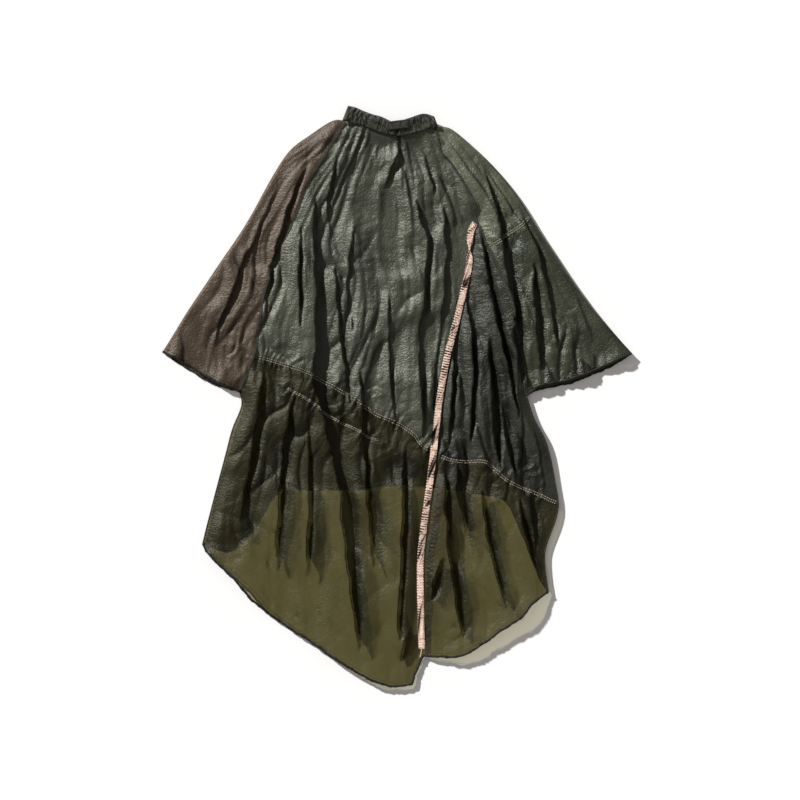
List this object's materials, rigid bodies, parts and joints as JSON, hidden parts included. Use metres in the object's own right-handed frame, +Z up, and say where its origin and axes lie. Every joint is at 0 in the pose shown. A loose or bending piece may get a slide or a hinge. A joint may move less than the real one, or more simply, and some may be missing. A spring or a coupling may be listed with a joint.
{
  "type": "barber cape",
  "caption": "Sleeved patchwork nylon barber cape with a banded collar, neck slit, closing tab and a long curved front hem, laid flat.",
  "frame": {"origin": "centre of the cape's outline on the surface that it lies on", "axes": "+Y from the hem towards the collar, +X towards the green sleeve, +Z up out of the front side"},
  "size_m": [1.132, 1.402, 0.0225],
  "materials": {
    "body_nylon": "glossy thin dark grey-green nylon",
    "skirt_nylon": "glossy thin olive nylon, see-through where it is one layer",
    "brown_nylon": "glossy thin brown nylon",
    "green_nylon": "satin green nylon",
    "seam_thread": "beige sewing thread over a felled seam",
    "tape_cloth": "matt pink cotton tape with small printed ticks",
    "black_binding": "rolled black binding",
    "snap_metal": "dull plated metal"
  },
  "bodies": {
    "cape_body": {"front_main_upper_panel": "body_nylon", "front_side_upper_panel": "body_nylon", "back_upper_panel": "body_nylon", "back_lower_panel": "body_nylon", "left_side_seam": "body_nylon", "right_side_seam": "body_nylon", "left_placket_facing": "body_nylon", "right_placket_facing": "body_nylon", "collar_band_front_left": "body_nylon", "collar_band_front_right": "body_nylon", "collar_band_back": "body_nylon", "front_main_lower_panel": "skirt_nylon", "front_side_lower_panel": "skirt_nylon", "front_main_waist_seam": "seam_thread", "front_side_waist_seam": "seam_thread", "back_waist_seam": "seam_thread", "waist_gathering_tape": "seam_thread", "left_front_raglan_seam": "seam_thread", "right_front_raglan_seam": "seam_thread", "left_back_raglan_seam": "seam_thread", "right_back_raglan_seam": "seam_thread", "printed_tape": "tape_cloth", "main_hem_binding": "black_binding", "side_hem_binding": "black_binding", "back_hem_binding": "black_binding", "snap_ball": "snap_metal"},
    "left_sleeve_body": {"left_sleeve": "brown_nylon", "left_sleeve_hem": "black_binding"},
    "right_sleeve_body": {"right_sleeve_upper": "green_nylon", "right_sleeve_lower": "green_nylon", "right_sleeve_cross_seam": "seam_thread", "right_sleeve_hem": "black_binding"},
    "closing_tab": {"collar_tab": "green_nylon", "snap_socket": "snap_metal"}
  },
  "joints": [
    {"name": "left_sleeve_fold", "type": "hinge", "parent": "cape_body", "child": "left_sleeve_body", "pos_m": [-0.294, 0.352, 0.022], "axis": [0.3669, 0.9303, 0], "range_deg": [0, 165]},
    {"name": "right_sleeve_fold", "type": "hinge", "parent": "cape_body", "child": "right_sleeve_body", "pos_m": [0.2365, 0.3365, 0.022], "axis": [0.3461, -0.9382, 0], "range_deg": [0, 165]},
    {"name": "tab_swing", "type": "hinge", "parent": "cape_body", "child": "closing_tab", "pos_m": [0.026, 0.656, 0.0217], "axis": [-0.1219, 0.9925, 0], "range_deg": [0, 150]}
  ]
}
